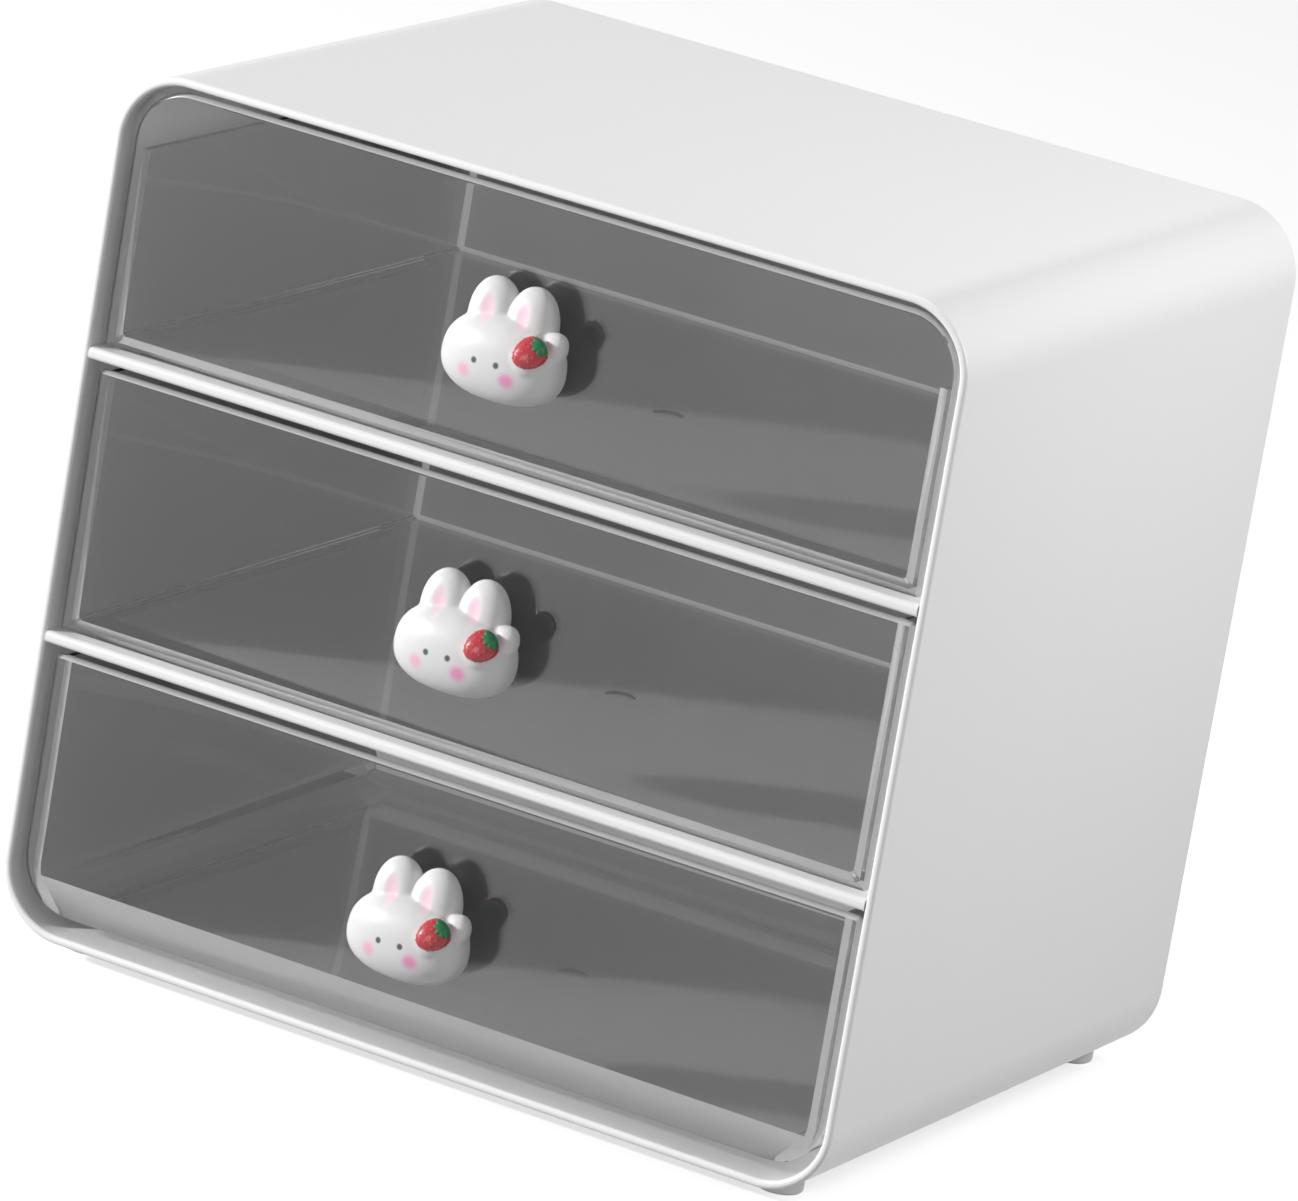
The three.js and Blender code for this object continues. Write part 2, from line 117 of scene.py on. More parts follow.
def unevenSkin(nodes, links, shader, scale, depth):
    bump = nodes.new("ShaderNodeBump")
    bump.inputs["Strength"].default_value = texture["skinStrength"]
    bump.inputs["Distance"].default_value = depth
    skin = objectNoise(nodes, links, scale, texture["skinDetail"])
    links.new(skin, bump.inputs["Height"])
    links.new(bump.outputs["Normal"], shader.inputs["Normal"])


def mixed(nodes, links, share, first, second):
    mix = nodes.new("ShaderNodeMixShader")
    links.new(share, mix.inputs["Fac"])
    links.new(first, mix.inputs[1])
    links.new(second, mix.inputs[2])
    return mix.outputs["Shader"]


# An opaque finish: its gloss is a middle roughness and how far that wanders, its skin the scale
# and depth of faint bumps
def mouldedPlastic(name, spec):
    material, nodes, links, output = newMaterial(name)
    shader = nodes.new("ShaderNodeBsdfPrincipled")
    shader.inputs["Base Color"].default_value = (*spec["colour"], 1)
    shader.inputs["Coat Weight"].default_value = spec.get("coat", 0)
    shader.inputs["Metallic"].default_value = spec.get("metal", 0)
    gloss, wander = spec["gloss"]
    cloudyGloss(nodes, links, shader, texture["opaqueClouds"], gloss - wander, gloss + wander)
    unevenSkin(nodes, links, shader, *spec["skin"])
    links.new(shader.outputs["BSDF"], output.inputs["Surface"])
    return material


# Smoked clear plastic; lamps reach through it by way of its tint, as they do through the real
# sheet. Where a finish has a glow, it gives off light though it is no lamp: a painted highlight.
def smokedPlastic(name, spec):
    material, nodes, links, output = newMaterial(name)
    shader = nodes.new("ShaderNodeBsdfPrincipled")
    shader.inputs["Base Color"].default_value = (*spec["tint"], 1)
    shader.inputs["Transmission Weight"].default_value = spec["clear"]
    shader.inputs["IOR"].default_value = spec["ior"]
    shader.inputs["Specular IOR Level"].default_value = spec["shine"]
    shader.inputs["Emission Color"].default_value = (1, 1, 1, 1)
    shader.inputs["Emission Strength"].default_value = spec.get("piped", 0)
    cloudyGloss(nodes, links, shader, texture["clearClouds"], *spec["gloss"])
    through = nodes.new("ShaderNodeBsdfTransparent")
    through.inputs["Color"].default_value = (*spec["lampTint"], 1)
    path = nodes.new("ShaderNodeLightPath")
    surface = mixed(nodes, links, path.outputs["Is Shadow Ray"],
                    shader.outputs["BSDF"], through.outputs["BSDF"])
    links.new(surface, output.inputs["Surface"])
    return material


# Marks painted on a knob, in millimetres across and up from the screw's axis: place, half sizes,
# lean, softness, colour
eye = {"half": (0.85, 0.9), "lean": 0, "soft": 0.6, "colour": (0.08, 0.09, 0.09)}
cheek = {"lean": 0, "soft": 1.0}
earMark = {"soft": 0.8, "colour": (0.88, 0.63, 0.72)}
face = [
    {**eye, "at": (-3.1, -5.2)},
    {**eye, "at": (3.05, -5.1)},
    {**cheek, "at": (-5.9, -8.3), "half": (2.0, 2.1), "colour": (0.88, 0.48, 0.64)},
    {**cheek, "at": (6.0, -8.3), "half": (2.2, 2.1), "colour": (0.86, 0.34, 0.57)},
    {**earMark, "at": (-5.1, 6.6), "half": (1.9, 3.7), "lean": 0.25},
    {**earMark, "at": (5.0, 6.8), "half": (1.9, 3.5), "lean": 0.15},
]
facePitch = 0.04  # the front map of a knob covers 40 mm each way
softInside, softOutside = 0.7, 0.3  # how a mark's softness lies about its outline


def frontPlace(across, up):
    return 0.5 + across / facePitch, 0.5 + up / facePitch


def paintedResin(name, spec, marks):
    material, nodes, links, output = newMaterial(name)
    shader = nodes.new("ShaderNodeBsdfPrincipled")
    shader.inputs["Roughness"].default_value = spec["gloss"]
    shader.inputs["Coat Weight"].default_value = spec["coat"]
    frontMap = nodes.new("ShaderNodeUVMap")
    frontMap.uv_map = "front"
    ground = nodes.new("ShaderNodeRGB")
    ground.outputs[0].default_value = (*spec["colour"], 1)
    colour = ground.outputs[0]
    for mark in marks:
        across, up = mark["at"]
        wide, tall = mark["half"]
        place = nodes.new("ShaderNodeMapping")
        place.vector_type = "TEXTURE"
        place.inputs["Location"].default_value = (*frontPlace(across * mm, up * mm), 0)
        place.inputs["Rotation"].default_value = (0, 0, mark["lean"])
        place.inputs["Scale"].default_value = (wide * mm / facePitch, tall * mm / facePitch, 1)
        links.new(frontMap.outputs["UV"], place.inputs["Vector"])
        reach = nodes.new("ShaderNodeVectorMath")
        reach.operation = "LENGTH"
        links.new(place.outputs["Vector"], reach.inputs[0])
        edge = nodes.new("ShaderNodeMapRange")
        edge.interpolation_type = "SMOOTHSTEP"
        edge.inputs["From Min"].default_value = 1 - mark["soft"] * softInside
        edge.inputs["From Max"].default_value = 1 + mark["soft"] * softOutside
        edge.inputs["To Min"].default_value = 1
        edge.inputs["To Max"].default_value = 0
        links.new(reach.outputs["Value"], edge.inputs["Value"])
        blend = nodes.new("ShaderNodeMix")  # its colour sockets are 6 and 7 in, 2 out
        blend.data_type = "RGBA"
        blend.inputs[7].default_value = (*mark["colour"], 1)
        links.new(edge.outputs["Result"], blend.inputs[0])
        links.new(colour, blend.inputs[6])
        colour = blend.outputs[2]
    links.new(colour, shader.inputs["Base Color"])
    unevenSkin(nodes, links, shader, *spec["skin"])
    links.new(shader.outputs["BSDF"], output.inputs["Surface"])
    return material


finishes = {
    "white_case": {
        "colour": (0.86, 0.86, 0.865), "gloss": (0.32, 0.03), "skin": (900, 0.00002), "coat": 0.15,
    },
    "white_sheet": {
        "colour": (0.85, 0.85, 0.855), "gloss": (0.33, 0.03), "skin": (900, 0.00002),
    },
    "foot_pad": {
        "colour": (0.93, 0.93, 0.93), "gloss": (0.5, 0.08), "skin": (2500, 0.00005),
    },
    "berry_red": {
        "colour": (0.5, 0.024, 0.04), "gloss": (0.34, 0.05), "skin": (1500, 0.00004), "coat": 0.3,
    },
    "berry_seed": {
        "colour": (0.6, 0.11, 0.08), "gloss": (0.4, 0.05), "skin": (2500, 0.00002),
    },
    "leaf_green": {
        "colour": (0.006, 0.16, 0.05), "gloss": (0.5, 0.05), "skin": (1500, 0.00003), "coat": 0.1,
    },
    "brass_insert": {
        "colour": (0.72, 0.5, 0.2), "gloss": (0.35, 0.05), "skin": (1500, 0.00003), "metal": 1,
    },
    "screw_steel": {
        "colour": (0.56, 0.56, 0.57), "gloss": (0.35, 0.05), "skin": (1500, 0.00003), "metal": 1,
    },
}
lampTint = (0.82, 0.82, 0.82)
cutEdge = {"lampTint": lampTint, "clear": 0.35, "ior": 1.5, "shine": 0.5, "gloss": (0.3, 0.4)}
smoked = {
    "smoked_clear": {
        "tint": (0.68, 0.675, 0.675), "lampTint": lampTint, "clear": 1, "ior": 1.58, "shine": 0.8,
        "gloss": (0.0, 0.02),
    },
    "smoked_edge": {**cutEdge, "tint": (0.57, 0.57, 0.57)},
    # the rounded seams at a tray's back glow: a painted highlight
    "smoked_seam": {**cutEdge, "tint": (0.7, 0.7, 0.7), "piped": 0.14},
}
resin = {"colour": (0.74, 0.735, 0.735), "gloss": 0.42, "skin": (700, 0.00003), "coat": 0.1}

materials = {name: mouldedPlastic(name, spec) for name, spec in finishes.items()}
materials.update({name: smokedPlastic(name, spec) for name, spec in smoked.items()})
materials["white_resin"] = paintedResin("white_resin", resin, face)
print("materials made")

# Mesh helpers

doubled = 0.000001  # points closer than a thousandth of a millimetre are one
shading = {"sharpest": 35, "weight": 100}


def placed(name, mesh):
    piece = bpy.data.objects.new(name, mesh)
    scene.collection.objects.link(piece)
    return piece


def settled(shape, mesh):
    bmesh.ops.remove_doubles(shape, verts=shape.verts, dist=doubled)
    bmesh.ops.recalc_face_normals(shape, faces=shape.faces)
    shape.to_mesh(mesh)
    shape.free()
    return mesh


def toMesh(name, shape):
    return settled(shape, bpy.data.meshes.new(name))


# Round arcs shade as curves and flat faces stay flat
def easeShading(piece, sharpest=shading["sharpest"]):
    for polygon in piece.data.polygons:
        polygon.use_smooth = True
    piece.data.set_sharp_from_angle(angle=math.radians(sharpest))
    even = piece.modifiers.new("even", "WEIGHTED_NORMAL")
    even.keep_sharp = True
    even.weight = shading["weight"]


def withModifiers(piece):
    graph = bpy.context.evaluated_depsgraph_get()
    mesh = bpy.data.meshes.new_from_object(piece.evaluated_get(graph))
    old = piece.data
    piece.modifiers.clear()
    piece.data = mesh
    mesh.name = old.name
    return piece


def arc(centre, radius, start, end, steps):
    points = []
    for step in range(steps + 1):
        angle = start + (end - start) * step / steps
        points.append((centre[0] + radius * math.cos(angle), centre[1] + radius * math.sin(angle)))
    return points


# The wall of faces between two closed rings of points
def bridge(shape, near, far):
    for i in range(len(near)):
        j = (i + 1) % len(near)
        shape.faces.new((near[i], near[j], far[j], far[i]))


def ball(shape, grid):
    sides, rings = grid
    made = bmesh.ops.create_uvsphere(shape, u_segments=sides, v_segments=rings, radius=1)
    return made["verts"]


# Geometry Nodes helpers


def newTree(name, inputs):
    tree = bpy.data.node_groups.new(name, "GeometryNodeTree")
    tree.interface.new_socket("Geometry", in_out="OUTPUT", socket_type="NodeSocketGeometry")
    for label, kind in inputs:
        tree.interface.new_socket(label, in_out="INPUT", socket_type="NodeSocket" + kind)
    return tree, tree.nodes.new("NodeGroupInput"), tree.nodes.new("NodeGroupOutput")


def put(tree, kind, **values):
    node = tree.nodes.new(kind)
    for key, value in values.items():
        setattr(node, key, value)
    return node


def endTree(tree, shapes, given, result):
    real = put(tree, "GeometryNodeRealizeInstances")
    paint = put(tree, "GeometryNodeSetMaterial")
    tree.links.new(shapes, real.inputs["Geometry"])
    tree.links.new(real.outputs["Geometry"], paint.inputs["Geometry"])
    tree.links.new(given.outputs["Finish"], paint.inputs["Material"])
    tree.links.new(paint.outputs["Geometry"], result.inputs["Geometry"])
    return tree


def runTree(tree, name, values):
    host = placed(name, bpy.data.meshes.new(name))
    maker = host.modifiers.new("maker", "NODES")
    maker.node_group = tree
    for item in tree.interface.items_tree:
        if item.in_out == "INPUT" and item.name in values:
            maker[item.identifier] = values[item.name]
    return withModifiers(host)


def sums(tree, operation, first, second):
    node = put(tree, "ShaderNodeMath", operation=operation)
    for socket, value in zip(node.inputs, (first, second)):
        if isinstance(value, (int, float)):
            socket.default_value = value
        else:
            tree.links.new(value, socket)
    return node.outputs[0]


# Case: a wall section carried round the outline

case = {
    "Wall": 2.2 * mm,
    "Corner radius": 18.6 * mm,
    "Rim radius": 1.0 * mm,
    "Corner steps": 28,
    "Rim steps": 6,
}


def caseTree():
    tree, given, result = newTree("caseShell", [
        ("Width", "Float"), ("Height", "Float"), ("Depth", "Float"), ("Wall", "Float"),
        ("Corner radius", "Float"), ("Rim radius", "Float"), ("Corner steps", "Int"),
        ("Rim steps", "Int"), ("Middle", "Vector"), ("Finish", "Material"),
    ])
    links, wall = tree.links, given.outputs["Wall"]
    path = put(tree, "GeometryNodeCurvePrimitiveQuadrilateral")
    links.new(sums(tree, "SUBTRACT", given.outputs["Width"], wall), path.inputs["Width"])
    links.new(sums(tree, "SUBTRACT", given.outputs["Height"], wall), path.inputs["Height"])
    half = sums(tree, "MULTIPLY", wall, 0.5)
    turned = put(tree, "GeometryNodeFilletCurve", mode="POLY")
    links.new(path.outputs["Curve"], turned.inputs["Curve"])
    links.new(sums(tree, "SUBTRACT", given.outputs["Corner radius"], half), turned.inputs["Radius"])
    links.new(given.outputs["Corner steps"], turned.inputs["Count"])
    section = put(tree, "GeometryNodeCurvePrimitiveQuadrilateral")
    links.new(wall, section.inputs["Width"])
    links.new(given.outputs["Depth"], section.inputs["Height"])
    rimmed = put(tree, "GeometryNodeFilletCurve", mode="POLY")
    links.new(section.outputs["Curve"], rimmed.inputs["Curve"])
    links.new(given.outputs["Rim radius"], rimmed.inputs["Radius"])
    links.new(given.outputs["Rim steps"], rimmed.inputs["Count"])
    sweep = put(tree, "GeometryNodeCurveToMesh")
    links.new(turned.outputs["Curve"], sweep.inputs["Curve"])
    links.new(rimmed.outputs["Curve"], sweep.inputs["Profile Curve"])
    stand = put(tree, "GeometryNodeTransform")
    stand.inputs["Rotation"].default_value = (quarter, 0, 0)
    links.new(sweep.outputs["Mesh"], stand.inputs["Geometry"])
    links.new(given.outputs["Middle"], stand.inputs["Translation"])
    return endTree(tree, stand.outputs["Geometry"], given, result)


def makeShell():
    low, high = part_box("case_shell")
    size = high - low
    shell = runTree(caseTree(), "case_wall", {
        **case, "Width": size.x, "Height": size.z, "Depth": size.y,
        "Middle": tuple((low + high) / 2), "Finish": materials["white_case"],
    })
    shape = bmesh.new()
    shape.from_mesh(shell.data)
    settled(shape, shell.data)
    easeShading(shell)
    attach(shell, "cabinet")
    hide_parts("case_shell")


makeShell()
print("case made")

# Shelves

shelf = {"edgeRadius": 1.3 * mm, "steps": 8}


def makeShelf(node):
    low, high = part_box(node)
    radius, steps = shelf["edgeRadius"], shelf["steps"]
    profile = arc((low.y + radius, high.z - radius), radius, quarter, math.pi, steps)
    profile += arc((low.y + radius, low.z + radius), radius, math.pi, quarter * 3, steps)
    profile += [(high.y, low.z), (high.y, high.z)]
    shape = bmesh.new()
    rings = [[shape.verts.new((x, y, z)) for y, z in profile] for x in (low.x, high.x)]
    for ring in rings:
        shape.faces.new(ring)
    bridge(shape, *rings)
    piece = placed(node.replace("shelf_", "") + "_shelf", toMesh(node, shape))
    piece.data.materials.append(materials["white_sheet"])
    easeShading(piece)
    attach(piece, "cabinet")
    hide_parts(node)


for node in ("shelf_lower", "shelf_upper"):
    makeShelf(node)
print("shelves made")

# Feet

foot = {"edgeRadius": 0.8 * mm, "steps": 6, "sides": 40}


def makeFoot(node):
    low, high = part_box(node)
    middle = (low + high) / 2
    radius = (high.x - low.x) / 2
    edge = foot["edgeRadius"]
    profile = [(0, low.z)] + arc((radius - edge, low.z + edge), edge, -quarter, 0, foot["steps"])
    profile += [(radius, high.z), (0, high.z)]
    shape = bmesh.new()
    verts = [shape.verts.new((r, 0, z)) for r, z in profile]
    edges = [shape.edges.new(pair) for pair in zip(verts, verts[1:])]
    bmesh.ops.spin(shape, geom=verts + edges, cent=(0, 0, 0), axis=(0, 0, 1), angle=math.tau,
                   steps=foot["sides"], use_merge=True)
    bmesh.ops.translate(shape, verts=shape.verts, vec=(middle.x, middle.y, 0))
    piece = placed(node.replace("foot_", "") + "_foot", toMesh(node, shape))
    piece.data.materials.append(materials["foot_pad"])
    easeShading(piece)
    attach(piece, "cabinet")
    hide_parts(node)


for node in sorted(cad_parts):
    if node.startswith("foot_"):
        makeFoot(node)
print("feet made")

# Front panels

panel = {
    "frontEdge": (1.4 * mm, 1.2 * mm),  # how far the rounding comes in, and how deep it goes
    "backEdge": (0.35 * mm, 0.35 * mm),
    "edgeSteps": 5,
    "cornerRadius": 1.2 * mm,
    "caseCornerRadius": 14.6 * mm,  # where a panel follows a corner of the case
    "leastRadius": 0.05 * mm,
    "cornerSteps": 20,
    "holeRadius": 2.25 * mm,
    "holeSides": 32,
    "holeZone": 2,  # in hole radii; the hole's wall lies inside it
    "lit": 0.3,  # a face that looks up or right by more than this gets the lighter edge finish: a painted highlight along the top and right edges
}


def plateOutline(low, high, radii, steps):
    rightBottom, rightTop, leftTop, leftBottom = radii
    points = arc((high.x - rightBottom, low.z + rightBottom), rightBottom, -quarter, 0, steps)
    points += arc((high.x - rightTop, high.z - rightTop), rightTop, 0, quarter, steps)
    points += arc((low.x + leftTop, high.z - leftTop), leftTop, quarter, math.pi, steps)
    points += arc((low.x + leftBottom, low.z + leftBottom), leftBottom, math.pi, quarter * 3, steps)
    return points


# Inset and place in depth of each ring round a panel, from its front face to its back face
def panelSections(front, back):
    bends = [quarter * i / panel["edgeSteps"] for i in range(panel["edgeSteps"] + 1)]
    inward, deep = panel["frontEdge"]
    sections = [(inward * (1 - math.sin(a)), front + deep * (1 - math.cos(a))) for a in bends]
    inward, deep = panel["backEdge"]
    bends.reverse()
    sections += [(inward * (1 - math.sin(a)), back - deep * (1 - math.cos(a))) for a in bends]
    return sections


# The knob's place: on the screw's axis, at the face of the front panel
def knobPlace(drawer):
    screwLow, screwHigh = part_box(drawer + "_knob_screw")
    return Vector((0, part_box(drawer + "_front_panel")[0].y, (screwLow.z + screwHigh.z) / 2))


def makePanel(drawer):
    node = drawer + "_front_panel"
    low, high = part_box(node)
    place = knobPlace(drawer)
    small, large = panel["cornerRadius"], panel["caseCornerRadius"]
    radii = {
        "top": (small, large, large, small),
        "middle": (small,) * 4,
        "bottom": (large, small, small, large),
    }
    shape = bmesh.new()
    rings = []
    for inset, y in panelSections(low.y, high.y):
        inner = (Vector((low.x + inset, 0, low.z + inset)),
                 Vector((high.x - inset, 0, high.z - inset)))
        corners = [max(r - inset, panel["leastRadius"]) for r in radii[drawer]]
        outline = plateOutline(*inner, corners, panel["cornerSteps"])
        rings.append([shape.verts.new((x, y, z)) for x, z in outline])
    for near, far in zip(rings, rings[1:]):
        bridge(shape, near, far)
    radius, sides = panel["holeRadius"], panel["holeSides"]
    spokes = [math.tau * i / sides for i in range(sides)]
    holes = []
    for ring, y in ((rings[0], low.y), (rings[-1], high.y)):
        hole = [shape.verts.new((radius * math.cos(a), y, place.z + radius * math.sin(a)))
                for a in spokes]
        loops = [shape.edges.new((hole[i], hole[(i + 1) % sides])) for i in range(sides)]
        loops += [shape.edges.get((ring[i], ring[(i + 1) % len(ring)])) for i in range(len(ring))]
        bmesh.ops.triangle_fill(shape, use_beauty=True, edges=loops)
        holes.append(hole)
    bridge(shape, *holes)
    piece = placed(drawer + "_clear_front", toMesh(node, shape))
    piece.data.materials.append(materials["smoked_clear"])
    piece.data.materials.append(materials["smoked_edge"])
    for polygon in piece.data.polygons:
        # the lighter matt edge finish goes only on the top and right edges, a painted highlight
        lit = max(polygon.normal.z, polygon.normal.x) > panel["lit"]
        byHole = (polygon.center - place).length < radius * panel["holeZone"]
        polygon.material_index = 1 if lit and not byHole else 0
    easeShading(piece)
    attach(piece, drawer + "_drawer")
    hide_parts(node)


for drawer in drawers:
    makePanel(drawer)
print("front panels made")

# Trays: the modelled tray with its doubled points joined and a matt front edge where it meets the
# panel; the rounded corners at its back glow a little, which is a painted highlight

tray = {
    "doubled": 0.005 * mm,
    "flat": math.radians(1),
    "onFront": 0.01 * mm,
    "frontGap": 0.05 * mm,
    "backZone": 3.4 * mm,
    "turned": (0.05, 0.995),  # how far a face of a rounded corner looks to the front
}


def mergedCopy(node, name):
    shape = bmesh.new()
    shape.from_mesh(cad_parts[node].data)
    bmesh.ops.remove_doubles(shape, verts=shape.verts, dist=tray["doubled"])
    bmesh.ops.dissolve_limit(shape, angle_limit=tray["flat"], verts=shape.verts, edges=shape.edges)
    bmesh.ops.triangulate(shape, faces=shape.faces)
    return placed(name, toMesh(name, shape))


def makeTray(drawer):
    node = drawer + "_tray"
    piece = mergedCopy(node, drawer + "_clear_tray")
    low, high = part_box(node)
    least, most = tray["turned"]
    mesh = piece.data
    mesh.materials.clear()
    mesh.materials.append(materials["smoked_clear"])
    mesh.materials.append(materials["smoked_edge"])
    mesh.materials.append(materials["smoked_seam"])
    for polygon in mesh.polygons:
        depths = [mesh.vertices[v].co.y - low.y for v in polygon.vertices]
        onFront = all(abs(depth) < tray["onFront"] for depth in depths)
        # faces of the rounded back corners get the glowing seam finish, a painted highlight
        atBack = least < -polygon.normal.y < most and polygon.center.y > high.y - tray["backZone"]
        polygon.material_index = 1 if onFront else 2 if atBack else 0
    for vertex in mesh.vertices:
        vertex.co.y = max(vertex.co.y, low.y + tray["frontGap"])
    easeShading(piece)
    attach(piece, drawer + "_drawer")
    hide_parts(node)


for drawer in drawers:
    makeTray(drawer)
print("trays made")

# Rabbit knobs. Places are in millimetres from the screw's axis at the face of the front panel:
# across, towards the front, up

rabbit = {
    "head": {
        "at": (0, 7.5, -5.2), "half": (16.3, 9.7, 11.0), "fullness": (2.35, 2.2, 2.35),
        "jowl": 0.06, "grid": (64, 40),
    },
    "ear": {
        "at": (5.4, 6.0, 3.3), "half": (6.8, 5.4, 10.3), "fullness": (2.1, 2.1, 2.1),
        "jowl": 0, "grid": (64, 40),
    },
    "lobe": {
        "at": (13.6, 8.3, 0.9), "half": (3.3, 2.9, 3.8), "fullness": (2.3, 2.3, 2.3),
        "jowl": 0, "grid": (32, 20),
    },
    "pad": {"margin": 1.0 * mm, "deep": 2.4 * mm, "fullness": 2.4, "grid": (48, 24)},
    "earDish": {"at": (4.9, 6.4), "half": (2.6, 5.0), "deep": 0.35},
    "grain": 0.32 * mm,
    "blend": {"factor": 0.5, "times": 16},
    "pocket": {"radius": 3.25 * mm, "depth": 7.75 * mm, "sides": 40},
    "painted": 0.2,  # a face that looks back by more than this gets none of the painting
    "sharpest": 50,
}

# Strawberry on a rabbit's head: where its middle is over the head, its lean and sizes, and how far
# the pad under it lifts it off the head
berry = {
    "at": (10.0, -0.8),
    "lean": math.radians(45),
    "lift": 0.8 * mm,
    "length": 8.8 * mm,
    "halfWidth": 4.2 * mm,
    "halfDepth": 2.6 * mm,
    "tipShare": 0.9,
    "crownShare": 1.5,
    "rings": 28,
    "sides": 48,
    "sharpest": 60,
}


def headSeat(across, up):
    head = rabbit["head"]
    (x, y, z), (wide, deep, tall) = head["at"], head["half"]
    a = (across - x) / wide
    b = (up - z) / tall
    out = math.sqrt(max(1 - a * a - b * b, 0))
    point = Vector((across, -y - deep * out, up)) * mm
    normal = Vector((a / wide, -out / deep, b / tall)).normalized()
    return point, normal


# A strawberry's own frame: across, from tip to crown, outward from the rabbit's face
def berryFrame():
    point, normal = headSeat(*berry["at"])
    point += normal * berry["lift"]
    lean = Vector((math.sin(berry["lean"]), 0, math.cos(berry["lean"])))
    across = lean.cross(normal).normalized()
    along = normal.cross(across)
    turn = Matrix((across, along, normal)).transposed().to_4x4()
    return Matrix.Translation(point) @ turn


def swollen(shape, spec, across=1):
    x, y, z = spec["at"]
    half, full = spec["half"], spec["fullness"]
    for vertex in ball(shape, spec["grid"]):
        p = vertex.co
        reach = sum(abs(c) ** n for c, n in zip(p, full)) ** (-1 / full[0])
        q = p * reach
        widen = 1 - spec["jowl"] * q.z
        place = (across * x + q.x * half[0] * widen, -y + q.y * half[1], z + q.z * half[2])
        vertex.co = Vector(place) * mm


# The raised pad under the strawberry, with its top at the strawberry's middle
def berryPad(shape, spec):
    seat, full = berryFrame(), spec["fullness"]
    wide = berry["halfWidth"] + spec["margin"]
    tall = berry["length"] / 2 + spec["margin"]
    half = Vector((wide, tall, spec["deep"]))
    for vertex in ball(shape, spec["grid"]):
        p = vertex.co
        reach = (abs(p.x) ** full + abs(p.y) ** full + p.z ** 2) ** -0.5
        place = (p.x * reach * half.x, p.y * reach * half.y, (p.z * reach - 1) * half.z)
        vertex.co = seat @ Vector(place)


# Head, ears, lobe and pad grown into one skin
def castBlank():
    shape = bmesh.new()
    swollen(shape, rabbit["head"])
    for side in (-1, 1):
        swollen(shape, rabbit["ear"], side)
    swollen(shape, rabbit["lobe"])
    berryPad(shape, rabbit["pad"])
    mesh = bpy.data.meshes.new("rabbit")
    shape.to_mesh(mesh)
    shape.free()
    piece = placed("rabbit", mesh)
    grain = piece.modifiers.new("grain", "REMESH")
    grain.mode = "VOXEL"
    grain.voxel_size = rabbit["grain"]
    soft = piece.modifiers.new("soft", "SMOOTH")
    soft.factor = rabbit["blend"]["factor"]
    soft.iterations = rabbit["blend"]["times"]
    return withModifiers(piece)


def dishEars(mesh):
    dish = rabbit["earDish"]
    for vertex in mesh.vertices:
        if vertex.co.y > -rabbit["ear"]["at"][1] * mm:
            continue
        a = (abs(vertex.co.x) / mm - dish["at"][0]) / dish["half"][0]
        b = (vertex.co.z / mm - dish["at"][1]) / dish["half"][1]
        inside = 1 - (a * a + b * b)
        if inside > 0:
            vertex.co.y += dish["deep"] * mm * inside * inside


# The back is cut flat at the panel's face
def flattenBack(piece):
    shape = bmesh.new()
    shape.from_mesh(piece.data)
    everything = shape.verts[:] + shape.edges[:] + shape.faces[:]
    cut = bmesh.ops.bisect_plane(shape, geom=everything, plane_co=(0, 0, 0), plane_no=(0, 1, 0),
                                 clear_outer=True)
    rim = [e for e in cut["geom_cut"] if isinstance(e, bmesh.types.BMEdge)]
    bmesh.ops.contextual_create(shape, geom=rim)
    piece.data = toMesh("rabbit", shape)


# The pocket that holds the threaded insert
def borePocket(piece, spec):
    borer = bmesh.new()
    bmesh.ops.create_cone(borer, cap_ends=True, segments=spec["sides"], radius1=spec["radius"],
                          radius2=spec["radius"], depth=spec["depth"] * 2)
    bmesh.ops.rotate(borer, verts=borer.verts, matrix=Matrix.Rotation(quarter, 3, "X"))
    tool = placed("borer", toMesh("borer", borer))
    bore = piece.modifiers.new("bore", "BOOLEAN")
    bore.operation = "DIFFERENCE"
    bore.object = tool
    withModifiers(piece)
    bpy.data.objects.remove(tool)


# The front map is millimetres across and up
def mapFront(mesh):
    layer = mesh.uv_layers.new(name="front")
    for polygon in mesh.polygons:
        painted = polygon.normal.y < rabbit["painted"]
        for corner in polygon.loop_indices:
            p = mesh.vertices[mesh.loops[corner].vertex_index].co
            layer.data[corner].uv = frontPlace(p.x, p.z) if painted else (0, 0)


def makeRabbits():
    master = castBlank()
    dishEars(master.data)
    flattenBack(master)
    borePocket(master, rabbit["pocket"])
    mapFront(master.data)
    for drawer in drawers:
        mesh = master.data.copy()
        mesh.transform(Matrix.Translation(knobPlace(drawer)))
        piece = placed(drawer + "_rabbit", mesh)
        mesh.materials.append(materials["white_resin"])
        easeShading(piece, rabbit["sharpest"])
        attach(piece, drawer + "_drawer")
        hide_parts(drawer + "_rabbit_knob")
    bpy.data.objects.remove(master)


makeRabbits()
print("rabbit knobs made")

# Strawberries

seeds = {
    "Pitch": 1.3 * mm,
    "Length": 0.36 * mm,
    "Width": 0.2 * mm,
    "Seed": 3,
    "crowd": 2000000,  # per square metre, before the pitch thins them out
    "facets": 2,
}
sepals = {
    "count": 5,
    "fan": math.radians(140),
    "length": 3.8 * mm,
    "half": 1.25 * mm,
    "thick": 0.45 * mm,
    "grid": (16, 12),
    "narrowing": 0.55,
    "rootOver": 0.6,  # in half widths, as is the drop from the crown
    "crownDrop": 0.7,
    "lift": 0.6,  # in thicknesses, off the berry's skin
}
skinSteps, skinBand = 100, 0.012  # samples along the berry, and how near one counts, in lengths


def bezier(p0, p1, p2, p3, t):
    s = 1 - t
    return p0 * s ** 3 + 3 * p1 * s * s * t + 3 * p2 * s * t * t + p3 * t ** 3


def berryProfile(t):
    half, wide = berry["length"] / 2, berry["halfWidth"]
    ends = Vector((0, -half)), Vector((wide * berry["tipShare"], -half))
    crown = Vector((wide * berry["crownShare"], half)), Vector((0, half))
    return bezier(*ends, *crown, t)


